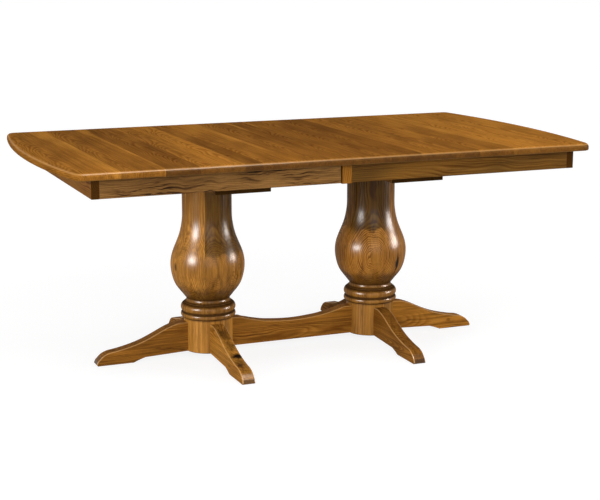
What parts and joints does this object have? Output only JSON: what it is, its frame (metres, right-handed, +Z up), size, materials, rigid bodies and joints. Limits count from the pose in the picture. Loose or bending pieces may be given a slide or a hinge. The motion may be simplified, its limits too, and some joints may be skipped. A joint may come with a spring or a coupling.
{
  "type": "double pedestal dining table",
  "caption": "Wooden extension table with a bowed-end top split across the middle, on turned bulb pedestals with bracket feet tied by a low stretcher, and geared slides under the top.",
  "frame": {"origin": "on the floor, under the middle of the closed top", "axes": "+X along the length, to the right seen from the front; +Y away from the front; +Z up"},
  "size_m": [1.912, 1.0668, 0.762],
  "materials": {
    "top_wood": "satin lacquer",
    "apron_wood": "satin lacquer",
    "column_wood": "satin lacquer",
    "foot_wood": "satin lacquer",
    "slide_wood": "waxed",
    "dowel_wood": "raw",
    "steel": "zinc plated",
    "nylon": "moulded"
  },
  "bodies": {
    "base": {"left_column": "column_wood", "right_column": "column_wood", "left_side_foot": "foot_wood", "left_front_foot": "foot_wood", "left_back_foot": "foot_wood", "right_side_foot": "foot_wood", "right_front_foot": "foot_wood", "right_back_foot": "foot_wood", "stretcher": "foot_wood", "left_bearer": "slide_wood", "right_bearer": "slide_wood", "front_centre_rail": "slide_wood", "rear_centre_rail": "slide_wood", "joint_dowels": "dowel_wood", "foot_glides": "nylon", "tie_rods": "steel", "tie_rod_washers": "steel", "tie_rod_nuts": "steel", "bearer_screws": "steel", "rail_screws": "steel", "pinion_axles": "steel"},
    "left_top": {"left_top_panel": "top_wood", "left_front_apron": "apron_wood", "left_back_apron": "apron_wood", "left_end_apron": "apron_wood", "left_corner_blocks": "slide_wood", "left_front_runner": "slide_wood", "left_rear_runner": "slide_wood", "left_slide_stops": "slide_wood", "left_racks": "nylon", "left_runner_screws": "steel", "lock_plates": "steel", "lock_plate_screws": "steel"},
    "right_top": {"right_top_panel": "top_wood", "right_front_apron": "apron_wood", "right_back_apron": "apron_wood", "right_end_apron": "apron_wood", "front_split_block": "apron_wood", "back_split_block": "apron_wood", "right_corner_blocks": "slide_wood", "right_front_runner": "slide_wood", "right_rear_runner": "slide_wood", "right_slide_stops": "slide_wood", "alignment_pins": "dowel_wood", "right_racks": "nylon", "right_runner_screws": "steel", "lock_keepers": "steel", "lock_keeper_screws": "steel"},
    "front_pinion": {"front_pinion": "nylon"},
    "rear_pinion": {"rear_pinion": "nylon"},
    "front_lock_lever": {"front_lock_lever": "steel"},
    "rear_lock_lever": {"rear_lock_lever": "steel"}
  },
  "joints": [
    {"name": "left_top_slide", "type": "slide", "parent": "base", "child": "left_top", "axis": [-1, 0, 0], "range_m": [0, 0.305]},
    {"name": "right_top_slide", "type": "slide", "parent": "base", "child": "right_top", "axis": [1, 0, 0], "range_m": [0, 0.305]},
    {"name": "front_pinion_spin", "type": "hinge", "parent": "base", "child": "front_pinion", "pos_m": [0, -0.19, 0.714], "axis": [0, 0, 1], "range_deg": [0, 972]},
    {"name": "rear_pinion_spin", "type": "hinge", "parent": "base", "child": "rear_pinion", "pos_m": [0, 0.19, 0.714], "axis": [0, 0, 1], "range_deg": [0, 972]},
    {"name": "front_lock_turn", "type": "hinge", "parent": "left_top", "child": "front_lock_lever", "pos_m": [-0.045, -0.4173, 0.7316], "axis": [0, 0, -1], "range_deg": [0, 70]},
    {"name": "rear_lock_turn", "type": "hinge", "parent": "left_top", "child": "rear_lock_lever", "pos_m": [-0.045, 0.4173, 0.7316], "axis": [0, 0, 1], "range_deg": [0, 70]}
  ],
  "couplings": [
    {"joint": "right_top_slide", "follows": "left_top_slide", "ratio": 1},
    {"joint": "front_pinion_spin", "follows": "left_top_slide", "rad_per_m": 55.556},
    {"joint": "rear_pinion_spin", "follows": "left_top_slide", "rad_per_m": 55.556}
  ]
}
